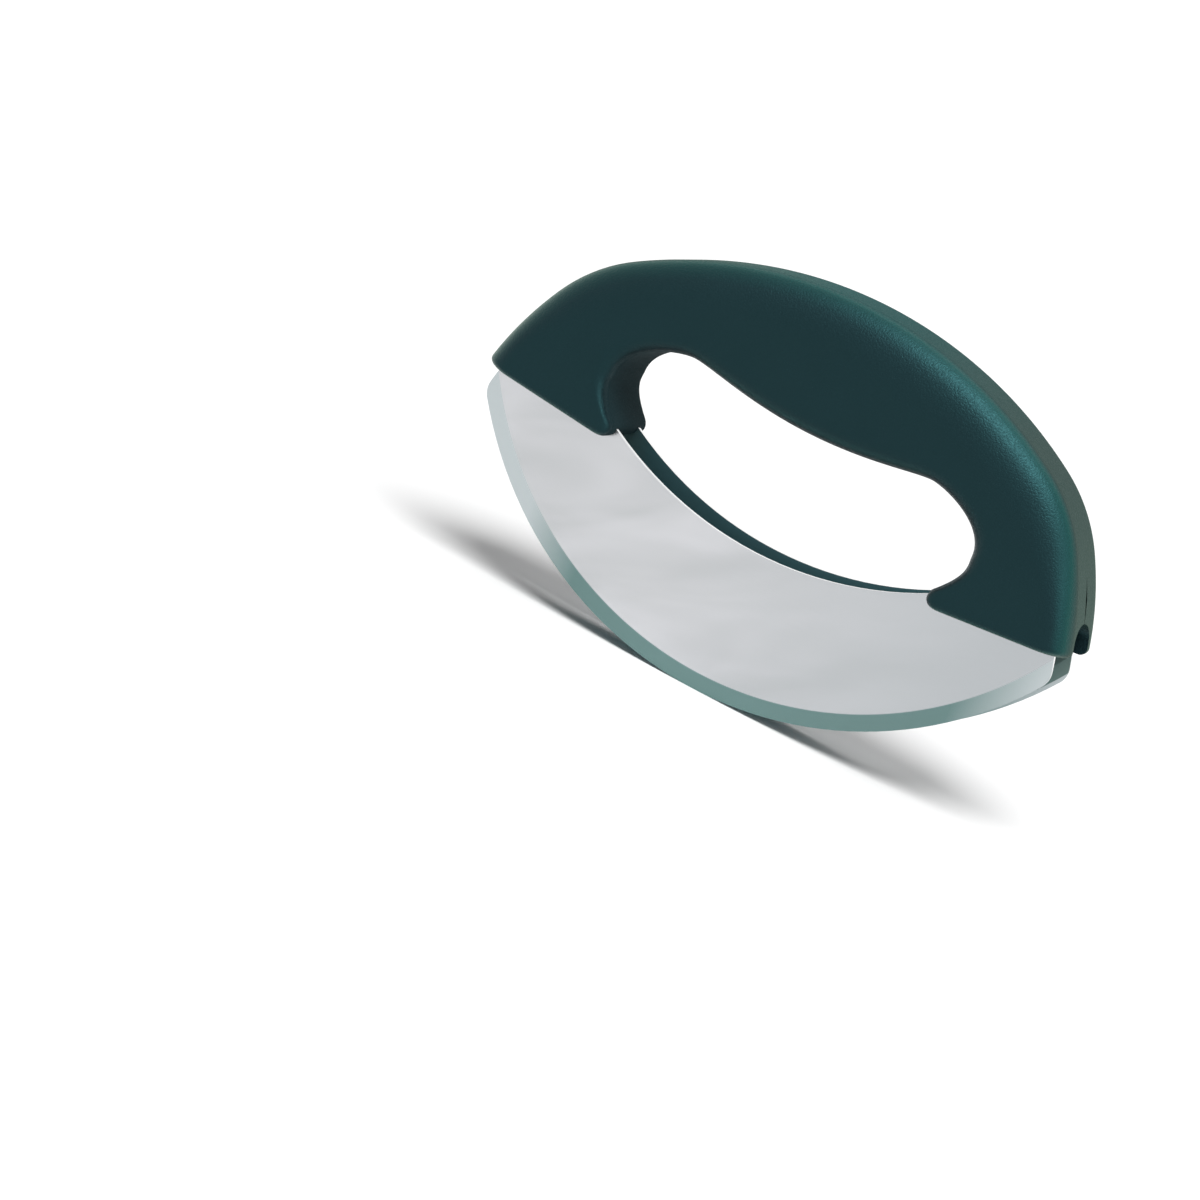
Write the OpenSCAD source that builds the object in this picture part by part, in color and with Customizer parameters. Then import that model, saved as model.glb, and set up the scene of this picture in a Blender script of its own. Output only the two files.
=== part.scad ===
// Double-bladed mezzaluna: two parallel crescent blades in one moulded two-shell handle
// X runs along the blades, -Y is the front, +Z is up, and the cutting edges touch Z = 0

/* [Blades] */
// Radius of the curved cutting edge
edge_r = 108.7; // [105:0.1:118]
// Height of a blade at its middle
blade_mid_h = 41.6; // [38:0.1:44]
// Radius of the hollow back edge
back_r = 105.6; // [100:0.1:110]
// Thickness of a blade
blade_t = 1.5; // [1:0.1:2]
// Clear space between the two blades
blade_gap = 16.2; // [15:0.1:17]
// Half length of a blade where it leaves the handle
blade_half_l = 88; // [87:0.1:89]
// Outward lean of the blade's ends
end_lean = 14.9; // [10:0.1:18]
// Radius of the lower corners of a blade
corner_r = 5.7; // [3:0.1:7]
// Width of the ground bevel
bevel_w = 4.7; // [2:0.1:8]
// Thickness left at the cutting edge
edge_t = 0.2; // [0.1:0.05:0.5]
// Height of the hidden tangs above the legs' bottom
tang_rise = 18; // [16:0.1:19]

/* [Handle] */
// Depth of the whole handle, front to back
handle_d = 32; // [31:0.1:34]
// Height of the top of the grip
grip_top = 116; // [113:0.1:120]
// Radius of the grip's top line
top_r = 127; // [118:0.5:136]
// Angle at which the top line turns into the shoulder
shoulder_start = 31.1; // [29:0.1:33]
// Radius of the shoulder
shoulder_r = 46.5; // [42:0.5:50]
// Angle at which the shoulder turns into the flank
flank_start = 60.1; // [58:0.1:62]
// Radius of the flank
flank_r = 96; // [88:1:130]
// Radius of the legs' outer lower corner
tip_r = 2; // [1.5:0.1:4]
// Height of the legs' bottom, carried on to the middle plane
leg_z = 46.1; // [45:0.1:47]
// Rise of the legs' bottom for each mm outwards
leg_rise = 0.097; // [0.08:0.001:0.11]
// Thickness of the moulded walls
wall = 3; // [2.4:0.1:3.4]
// Width of the large rounding along the outer side
round_w = 16.2; // [12:0.1:20]
// Depth of the large rounding along the outer side
round_d = 8; // [7:0.1:11]
// Rounding along the finger opening
round_in = 5.2; // [3.5:0.1:6]
// Rounding of the toes, where that along the opening ends
round_toe = 2; // [1.5:0.1:3]
// Rounding of the legs' ends
round_end = 2; // [1:0.1:2.5]

/* [Finger opening] */
// Height of the opening's top at the middle
open_mid_z = 77.9; // [76:0.1:79]
// Reach over which the top stays level at the middle
mid_reach = 19; // [12:0.5:22]
// Height of the opening's top at its two high points
open_top_z = 82; // [80:0.1:84]
// Half distance between the two high points
open_top_x = 37.4; // [34:0.1:40]
// Reach over which the top stays level inside a high point
top_in_reach = 5.1; // [3:0.1:10]
// Reach over which the top stays level outside a high point
top_out_reach = 4.2; // [3:0.1:8]
// Half width of the opening at its widest
open_wide_x = 56.3; // [55:0.1:57]
// Height at which the opening is widest
open_wide_z = 68.5; // [67:0.1:70]
// Reach over which the side stays upright above its widest point
side_up_reach = 9.2; // [6:0.1:11]
// Reach over which the side stays upright below its widest point
side_down_reach = 2.3; // [1:0.1:4]
// Half width of the opening between the legs' toes
open_toe_x = 50.1; // [49:0.1:51]
// Radius of the toes' rounded noses
toe_r = 3; // [2.4:0.1:3.6]
// Reach of the toes' curve from the rounded nose
toe_reach = 10.3; // [8:0.1:12]
// Steepness of the toes' curve at the rounded nose
toe_angle = 46; // [42:1:52]

/* [Pins and spacers] */
// Diameter of the cross pins
pin_d = 4; // [3:0.5:4]
// Height of the inner pins above the legs' bottom
inner_pin_rise = 8.2; // [7.6:0.1:9]
// Height of the blade's back edge above the inner pins
pin_cover = 5; // [4.6:0.1:5.4]
// Place of the outer pins along the blade
outer_pin_x = 76; // [75.5:0.1:77]
// Height of the outer pins above the legs' bottom
outer_pin_rise = 12.5; // [12:0.1:13.5]
// Gap round a pin in its bore
pin_fit = 0.05; // [0.02:0.01:0.1]
// Depth of a pin's seat in the shell's wall
pin_seat = 1.2; // [0.8:0.1:1.4]
// Gap round a blade in its slot
slot_fit = 0.15; // [0.1:0.05:0.3]
// Wall of the bosses round pins and pegs
boss_wall = 2.4; // [2:0.1:3]
// Diameter of the pegs that line up the two shells
peg_d = 5; // [4:0.5:6]
// Reach of the pegs into the other shell
peg_reach = 6; // [4:0.5:8]
// Share of the half arch at which the outer pegs stand
peg_share = 0.38; // [0.3:0.01:0.42]

/* [End notches] */
// Distance from the middle at which the notches start
notch_x = 84.5; // [84.2:0.1:85.5]
// Wall left between a notch and the blades' slots
notch_side = 0.95; // [0.8:0.05:2]
// Height up to which a notch's sides stay upright
notch_spring = 4.7; // [4:0.1:6]
// Height of a notch's top above the legs' bottom
notch_rise = 9.9; // [8:0.1:11]
// Thickness of the wall behind a notch
notch_wall = 2.4; // [2:0.1:2.6]
// Length of the slender gap that the seam leaves above the notch
seam_len = 12; // [8:0.5:14]
// Width of that gap where it is widest, at its middle
seam_w = 1.1; // [0.4:0.1:1.4]

/* [Hidden] */
steel = [0.78, 0.79, 0.79];
pin_steel = [0.62, 0.63, 0.64];
handle_green = [0.13, 0.21, 0.22];
spacer_green = [0.10, 0.16, 0.17];
arc_faces = 180;
hole_faces = 48;
notch_steps = 20;
grip_stations = 24;
leg_stations = 11;
end_stations = 7;
in_steps = 4;
out_steps = 11;
hollow_in_steps = 2;
hollow_out_steps = 6;
half_d = handle_d / 2;
blade_y = (blade_gap + blade_t) / 2;
back_cz = blade_mid_h + back_r;
top_cz = grip_top - top_r;
// Share of the half arch at which each stretch of its outer and inner side ends
outer_top_t = 0.5;
outer_shoulder_t = 0.68;
outer_flank_t = 0.88;
inner_top_t = 0.42;
inner_bend_t = 0.66;
inner_toe_t = 0.8;
// A cut runs this far past the face it opens
past = 1;
spacer_gap = 0.3;
hollow_end_x = notch_x - notch_wall;
spacer_end_x = hollow_end_x - 4 * spacer_gap;
notch_half_w = blade_gap / 2 - slot_fit - notch_side;

// Height of the legs' flat bottom at a distance from the middle
function leg_bottom(x) = leg_z + leg_rise * abs(x);

function bezier(a, b, c, d, t) =
    pow(1 - t, 3) * a + 3 * pow(1 - t, 2) * t * b + 3 * (1 - t) * t * t * c + pow(t, 3) * d;

function span(t, from, to) = (t - from) / (to - from);
function mix(a, b, share) = a + (b - a) * share;
function arc_point(centre, r, angle) = centre + r * [sin(angle), cos(angle)];

// Outer side of the right half: top, shoulder and flank arcs, and the small arc round the corner,
// which touches the flank and the leg's bottom
top_c = [0, top_cz];
shoulder_c = arc_point(top_c, top_r - shoulder_r, shoulder_start);
flank_c = arc_point(shoulder_c, shoulder_r - flank_r, flank_start);
leg_out = [leg_rise, -1] / norm([leg_rise, -1]);
tip_swing = asin((-tip_r - (flank_c - [0, leg_z]) * leg_out) / (flank_r - tip_r));
flank_end = tip_swing + atan(1 / leg_rise);
tip_c = arc_point(flank_c, flank_r - tip_r, flank_end);
tip_end = 180 - atan(leg_rise);
tip_sweep = tip_end - flank_end;

function outer_point(t) =
    t < outer_top_t ?
        arc_point(top_c, top_r, shoulder_start * t / outer_top_t) :
    t < outer_shoulder_t ?
        arc_point(shoulder_c, shoulder_r,
                  mix(shoulder_start, flank_start, span(t, outer_top_t, outer_shoulder_t))) :
    t < outer_flank_t ?
        arc_point(flank_c, flank_r, mix(flank_start, flank_end, span(t, outer_shoulder_t, outer_flank_t))) :
    arc_point(tip_c, tip_r, mix(flank_end, tip_end, span(t, outer_flank_t, 1)));

// Inner side of the right half: swelling underside of the grip, bend, toe and its rounded nose,
// which touches the leg's bottom and turns the last stretch alike with the outer corner
open_mid = [0, open_mid_z];
open_high = [open_top_x, open_top_z];
open_wide = [open_wide_x, open_wide_z];
toe_c = [open_toe_x + toe_r, leg_bottom(open_toe_x + toe_r) + toe_r * norm([leg_rise, 1])];
toe_end = -180 - atan(leg_rise);
open_toe = arc_point(toe_c, toe_r, -toe_angle);
toe_pull = toe_reach * [cos(toe_angle), sin(toe_angle)];

function inner_point(t) =
    t < inner_top_t ?
        bezier(open_mid, open_mid + [mid_reach, 0], open_high - [top_in_reach, 0], open_high,
               span(t, 0, inner_top_t)) :
    t < inner_bend_t ?
        bezier(open_high, open_high + [top_out_reach, 0], open_wide + [0, side_up_reach], open_wide,
               span(t, inner_top_t, inner_bend_t)) :
    t < inner_toe_t ?
        bezier(open_wide, open_wide - [0, side_down_reach], open_toe + toe_pull, open_toe,
               span(t, inner_bend_t, inner_toe_t)) :
    t < outer_flank_t ?
        arc_point(toe_c, toe_r, mix(-toe_angle, toe_end + tip_sweep, span(t, inner_toe_t, outer_flank_t))) :
    arc_point(toe_c, toe_r, mix(toe_end + tip_sweep, toe_end, span(t, outer_flank_t, 1)));

// Points of one section at a share of the arch, inset all round and drawn in at the cheek, as
// [distance from the inner side, depth from the seam]: inner rounding, flat cheek and elliptical rounding
function section(t, w, inset, draw, turns_in, turns_out) =
    let (d = half_d - inset - draw, soft = max(span(t, inner_bend_t, 1), 0),
         ri = max(mix(round_in, round_toe, soft) - inset, 0.4),
         rw = max(round_w - inset, 1), rd = max(round_d - inset, 1))
    concat(
        [[inset, 0]],
        [for (i = [0 : turns_in]) let (a = 90 * i / turns_in)
            [inset + ri * (1 - cos(a)), d - ri * (1 - sin(a))]],
        [for (i = [0 : turns_out]) let (a = 90 * i / turns_out)
            [w - inset - rw * (1 - sin(a)), d - rd * (1 - cos(a))]],
        [[w - inset, 0]]);

// One section in its place, between the inner and the outer side and no further out than a limit
function place(side, station, limit, turns_in, turns_out) =
    let (t = station[0], inset = station[1],
         a = inner_point(t), b = outer_point(t), u = (b - a) / norm(b - a),
         w = u[0] > 0 ? min(norm(b - a), (limit - a[0]) / u[0] + inset) : norm(b - a))
    [for (q = section(t, w, inset, station[2], turns_in, turns_out))
        [side * (a[0] + u[0] * q[0]), -q[1], a[1] + u[1] * q[0]]];

// Sections from the left leg's end over the grip to the right one's, at stations of [share, inset, draw]
function wrap(stations, limit, turns_in, turns_out) =
    concat(
        [for (i = [len(stations) - 1 : -1 : 1]) place(-1, stations[i], limit, turns_in, turns_out)],
        [for (s = stations) place(1, s, limit, turns_in, turns_out)]);

// The cheek is drawn in along the leg's bottom edge, as a rounding of round_end
function above_bottom(p) = p[1] - leg_bottom(p[0]);
function bottom_draw(t) =
    let (lift = max(round_end - above_bottom((inner_point(t) + outer_point(t)) / 2), 0))
    round_end - sqrt(max(round_end * round_end - lift * lift, 0));

shares = concat(
    [for (i = [0 : grip_stations]) inner_bend_t * i / grip_stations],
    [for (i = [1 : leg_stations]) mix(inner_bend_t, outer_flank_t, i / leg_stations)],
    [for (i = [1 : end_stations]) mix(outer_flank_t, 1, i / end_stations)]);
outer_stations = [for (t = shares) [t, 0, bottom_draw(t)]];

// The hollow keeps to the same shares along the grip, and ends above the rounded corner
function hollow_share(t) =
    t < inner_bend_t ? t : mix(inner_bend_t, outer_flank_t, span(t, inner_bend_t, 1));
inner_stations = [for (t = shares) [hollow_share(t), wall, 0]];
floor_rise = max(above_bottom(inner_point(outer_flank_t)), above_bottom(outer_point(outer_flank_t)));

function flat(rows) = [for (r = rows) for (p = r) p];

// Faces of a grid of rings, each ring an open line of points
function grid_faces(rows, cols, first, turn) =
    [for (i = [0 : rows - 2]) for (j = [0 : cols - 2])
        let (a = first + i * cols + j, b = a + 1, c = a + cols, e = c + 1)
        for (f = turn ? [[a, b, e], [a, e, c]] : [[a, e, b], [a, c, e]]) f];

// One hollow half of the handle, open towards the seam at Y = 0
module hollow_half() {
    outside = wrap(outer_stations, 2 * blade_half_l, in_steps, out_steps);
    inside = wrap(inner_stations, hollow_end_x, hollow_in_steps, hollow_out_steps);
    rows = len(outside);
    cols = len(outside[0]);
    hollow_cols = len(inside[0]);
    second = rows * cols;
    last = (rows - 1) * cols;
    hollow_last = second + (rows - 1) * hollow_cols;
    seam_low = [for (i = [0 : rows - 2])
        let (a = i * cols, b = a + cols, c = second + i * hollow_cols, e = c + hollow_cols)
        for (f = [[a, b, e], [a, e, c]]) f];
    seam_high = [for (i = [0 : rows - 2])
        let (a = i * cols + cols - 1, b = a + cols, c = second + (i + 1) * hollow_cols - 1,
             e = c + hollow_cols)
        for (f = [[a, e, b], [a, c, e]]) f];
    seam_ends = [[0, second, second + hollow_cols - 1, cols - 1],
                 [last, last + cols - 1, hollow_last + hollow_cols - 1, hollow_last]];
    caps = [[for (j = [0 : cols - 1]) j],
            [for (j = [cols - 1 : -1 : 0]) last + j],
            [for (j = [hollow_cols - 1 : -1 : 0]) second + j],
            [for (j = [0 : hollow_cols - 1]) hollow_last + j]];
    polyhedron(
        points = concat(flat(outside), flat(inside)),
        faces = concat(grid_faces(rows, cols, 0, true), grid_faces(rows, hollow_cols, second, false),
                       seam_low, seam_high, seam_ends, caps));
}

// Lower corner of a blade: its rounding touches the cutting arc and the end line
lean_dir = [sin(end_lean), -cos(end_lean)];
lean_out = [cos(end_lean), sin(end_lean)];
end_at = [blade_half_l, leg_bottom(blade_half_l)];
corner_off = (end_at - [0, edge_r]) * lean_out - corner_r;
corner_along = sqrt(pow(edge_r - corner_r, 2) - corner_off * corner_off);
corner_c = [0, edge_r] + corner_off * lean_out + corner_along * lean_dir;
corner_on_end = corner_c + corner_r * lean_out;
corner_dir = (corner_c - [0, edge_r]) / norm(corner_c - [0, edge_r]);
corner_on_arc = corner_c + corner_r * corner_dir;

module corner_waste() {
    difference() {
        polygon([corner_c, corner_on_arc, corner_on_arc + 2 * corner_r * (corner_dir + lean_out),
                 corner_on_end + 2 * corner_r * lean_out, corner_on_end]);
        translate(corner_c) circle(r = corner_r, $fn = hole_faces);
    }
}

// Room between the blade's two end lines, up to the tang's top, with a gap all round
module end_limits(gap) {
    low = end_at + gap * lean_out + (end_at[1] + past) / cos(end_lean) * lean_dir;
    high = end_at + gap * lean_out - (tang_rise + gap) / cos(end_lean) * lean_dir;
    polygon([low, high, [-high[0], high[1]], [-low[0], low[1]]]);
}

// Distance from the middle at which the blade's back edge is this high above the leg's bottom line
function back_cross(rise) =
    let (c = leg_z + rise - back_cz, k = 1 + leg_rise * leg_rise)
    (sqrt(leg_rise * leg_rise * c * c - k * (c * c - back_r * back_r)) - leg_rise * c) / k;

// Places of the two pins on the right, as [x, z]
inner_pin_x = back_cross(inner_pin_rise + pin_cover);
pin_places = [[inner_pin_x, leg_bottom(inner_pin_x) + inner_pin_rise],
              [outer_pin_x, leg_bottom(outer_pin_x) + outer_pin_rise]];

module blade_outline() {
    difference() {
        intersection() {
            translate([0, edge_r]) circle(r = edge_r, $fn = arc_faces);
            end_limits(0);
        }
        translate([0, back_cz]) circle(r = back_r, $fn = arc_faces);
        for (side = [0, 1]) mirror([side, 0]) {
            corner_waste();
            for (p = pin_places) translate(p) circle(d = pin_d + 2 * pin_fit, $fn = hole_faces);
        }
    }
}

// Lens-shaped disc whose cone faces leave the ground bevel on a blank
module ground_disc() {
    flat_r = edge_r - bevel_w;
    translate([0, edge_r, 0])
        rotate_extrude($fn = arc_faces)
            polygon([[0, -blade_t / 2], [flat_r, -blade_t / 2], [edge_r, -edge_t / 2],
                     [edge_r, edge_t / 2], [flat_r, blade_t / 2], [0, blade_t / 2]]);
}

module blade(y) {
    translate([0, y, 0]) rotate([90, 0, 0])
        intersection() {
            linear_extrude(height = blade_t, center = true) blade_outline();
            ground_disc();
        }
}

module front_blade() {
    color(steel) blade(-blade_y);
}

module rear_blade() {
    color(steel) blade(blade_y);
}

// Slot in a leg that follows the blade's back edge, end and tang
module blade_slot(y) {
    translate([0, y, 0]) rotate([90, 0, 0])
        linear_extrude(height = blade_t + 2 * slot_fit, center = true)
            difference() {
                end_limits(slot_fit);
                translate([0, back_cz]) circle(r = back_r - slot_fit, $fn = arc_faces);
            }
}

// Elliptical arch with the seam's slender gap above it, drawn across the end of the handle
module notch_profile() {
    foot = leg_bottom(notch_x);
    apex = foot + notch_rise;
    polygon(concat(
        [[-notch_half_w, foot - past], [notch_half_w, foot - past]],
        [for (i = [0 : notch_steps]) let (a = 180 * i / notch_steps)
            [notch_half_w * cos(a), foot + notch_spring + (notch_rise - notch_spring) * sin(a)]]));
    polygon([[0, apex - seam_w], [seam_w / 2, apex + seam_len / 2],
             [0, apex + seam_len], [-seam_w / 2, apex + seam_len / 2]]);
}

module end_notch() {
    reach = tip_c[0] + tip_r + past - notch_x;
    translate([notch_x, 0, 0]) rotate([90, 0, 90])
        linear_extrude(height = reach) notch_profile();
}

module pin_boss(p) {
    inner_face = blade_y + blade_t / 2 + slot_fit;
    translate([p[0], -inner_face, p[1]]) rotate([90, 0, 0])
        cylinder(h = half_d - wall / 2 - inner_face, d = pin_d + 2 * boss_wall, $fn = hole_faces);
}

module pin_recess(p) {
    translate([p[0], 0, p[1]]) rotate([90, 0, 0])
        cylinder(h = half_d - wall + pin_seat, d = pin_d + 2 * pin_fit, $fn = hole_faces);
}

module peg_post(d) {
    rotate([90, 0, 0]) cylinder(h = half_d - wall / 2, d = d, $fn = hole_faces);
}

// Pegs stand halfway between the inner and the outer side
peg_at = (inner_point(peg_share) + outer_point(peg_share)) / 2;
peg_places = [[-peg_at[0], peg_at[1]], (inner_point(0) + outer_point(0)) / 2, peg_at];

// Half shell with its pin bosses, slots and notches, in the front position
module shell_half() {
    difference() {
        union() {
            hollow_half();
            for (side = [0, 1]) mirror([side, 0, 0])
                for (p = pin_places) pin_boss(p);
        }
        blade_slot(-blade_y);
        for (side = [0, 1]) mirror([side, 0, 0]) {
            end_notch();
            for (p = pin_places) pin_recess(p);
        }
    }
}

module front_handle_shell() {
    color(handle_green) {
        shell_half();
        for (p = peg_places) translate([p[0], 0, p[1]]) {
            peg_post(peg_d + 2 * boss_wall);
            rotate([-90, 0, 0]) cylinder(h = peg_reach, d = peg_d, $fn = hole_faces);
        }
    }
}

module rear_handle_shell() {
    color(handle_green) mirror([0, 1, 0]) {
        shell_half();
        for (p = peg_places) translate([p[0], 0, p[1]])
            difference() {
                peg_post(peg_d + 2 * boss_wall);
                translate([0, past, 0]) rotate([90, 0, 0])
                    cylinder(h = peg_reach + 2 * past, d = peg_d + 2 * pin_fit, $fn = hole_faces);
            }
    }
}

// Block that holds the two tangs apart, with the tangs' own outline
module blade_spacer(side) {
    start_x = open_wide_x + wall + spacer_gap;
    low = leg_bottom(0) + floor_rise + spacer_gap;
    top = end_at[1] + tang_rise;
    mirror([side, 0, 0]) rotate([90, 0, 0])
        linear_extrude(height = blade_gap, center = true)
            difference() {
                polygon([[start_x, low + leg_rise * start_x], [spacer_end_x, low + leg_rise * spacer_end_x],
                         [spacer_end_x, top], [start_x, top]]);
                translate([0, back_cz]) circle(r = back_r, $fn = arc_faces);
                for (p = pin_places) translate(p) circle(d = pin_d + 2 * pin_fit, $fn = hole_faces);
            }
}

module left_blade_spacer() {
    color(spacer_green) blade_spacer(1);
}

module right_blade_spacer() {
    color(spacer_green) blade_spacer(0);
}

module cross_pin(side, p) {
    half_len = half_d - wall + pin_seat - spacer_gap;
    color(pin_steel) mirror([side, 0, 0])
        translate([p[0], 0, p[1]]) rotate([90, 0, 0])
            cylinder(h = 2 * half_len, d = pin_d, center = true, $fn = hole_faces);
}

module left_inner_pin() {
    cross_pin(1, pin_places[0]);
}

module left_outer_pin() {
    cross_pin(1, pin_places[1]);
}

module right_inner_pin() {
    cross_pin(0, pin_places[0]);
}

module right_outer_pin() {
    cross_pin(0, pin_places[1]);
}

front_blade();
rear_blade();
front_handle_shell();
rear_handle_shell();
left_blade_spacer();
right_blade_spacer();
left_inner_pin();
left_outer_pin();
right_inner_pin();
right_outer_pin();
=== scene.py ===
import math
import bmesh
import bpy
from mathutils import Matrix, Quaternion, Vector


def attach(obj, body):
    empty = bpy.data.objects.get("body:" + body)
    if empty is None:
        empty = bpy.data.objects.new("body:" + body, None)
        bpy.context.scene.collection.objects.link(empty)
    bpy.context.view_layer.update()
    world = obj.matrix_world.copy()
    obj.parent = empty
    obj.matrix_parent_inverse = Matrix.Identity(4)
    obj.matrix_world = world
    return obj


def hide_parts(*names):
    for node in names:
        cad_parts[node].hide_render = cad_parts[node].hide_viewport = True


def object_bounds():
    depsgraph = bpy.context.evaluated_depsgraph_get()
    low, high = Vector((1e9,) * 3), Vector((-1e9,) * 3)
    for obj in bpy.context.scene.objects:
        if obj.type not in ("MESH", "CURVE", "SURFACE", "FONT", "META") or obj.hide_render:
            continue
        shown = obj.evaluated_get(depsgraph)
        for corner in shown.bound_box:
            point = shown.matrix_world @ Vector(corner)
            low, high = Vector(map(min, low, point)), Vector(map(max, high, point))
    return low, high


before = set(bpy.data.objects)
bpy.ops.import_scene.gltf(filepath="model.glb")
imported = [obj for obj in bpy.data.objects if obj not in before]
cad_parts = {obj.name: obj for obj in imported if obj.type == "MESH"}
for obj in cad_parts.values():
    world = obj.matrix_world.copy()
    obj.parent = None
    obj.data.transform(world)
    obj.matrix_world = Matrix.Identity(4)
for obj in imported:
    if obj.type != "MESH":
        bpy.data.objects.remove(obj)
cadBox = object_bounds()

print("frame loaded:", ", ".join(sorted(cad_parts)))
mm = 0.001

# The photograph's camera, found from the arcs of the blades and the handle (metres and degrees)
cameraSetup = {
    "place": (0.4419, -1.5531, 0.3370),
    "look": (-0.2889, 0.9366, -0.1985),
    "roll": 24.42,
    "lens": 180.0,      # 6000 px focal length on a 1200 px frame
    "sensor": 36.0,
}


def toLinear(hexColour):
    channels = [int(hexColour[i:i + 2], 16) / 255 for i in (1, 3, 5)]
    linear = [c / 12.92 if c <= 0.04045 else ((c + 0.055) / 1.055) ** 2.4 for c in channels]
    return (*linear, 1.0)


def addNode(tree, kind, links=None, values=None, **settings):
    # One node with its settings, its socket values and the links into it, by socket name or number
    node = tree.nodes.new(kind)
    for name, value in settings.items():
        setattr(node, name, value)
    for socket, value in (values or {}).items():
        node.inputs[socket].default_value = value
    for socket, source in (links or {}).items():
        tree.links.new(source, node.inputs[socket])
    return node


def newMaterial(name):
    material = bpy.data.materials.new(name)
    material.use_nodes = True
    tree = material.node_tree
    return material, tree, tree.nodes["Principled BSDF"]


# Injection-moulded plastic, dark green: the mould's spark-eroded skin gives a satin sheen that
# breaks into a fine sparkle, and its reflections stay blue-green except at a grazing angle.
# The sides that run across the thickness are duller than the cheeks: round the outside they have
# a faint bloom, teal over the grip and green-grey on the legs, and in the finger opening and the
# notches the skin is coarsest. The real grain of about 0.1 mm is too fine to show, so it is drawn
# coarser. The spans are of the normal's Y, which is 0 on the sides and 1 on the cheeks.
handlePlastic = {
    # The rounded edge's colour is a painted highlight: the lighter teal of the key lamp's glow on the outer rounding
    "colour": "#0A1115", "cloudColour": "#0E171B", "paintedGlowColour": "#00322F",
    "sheen": "#86E2EA", "gripBloom": "#7CFFF0", "legBloom": "#D4F6D4", "bloom": 0.14, "legsMm": (10, 60), "grainMm": 0.5, "cloudMm": 18.0,
    "bumpMm": 0.1, "roughness": 0.4, "sideRoughness": 0.82, "openingRoughness": 1.0, "roughSpread": 0.2,
    "specular": 0.42, "sideSpan": (0.08, 0.5), "bloomSpan": (0.5, 0.92), "openingMm": (0, 0, 66),
}


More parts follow.
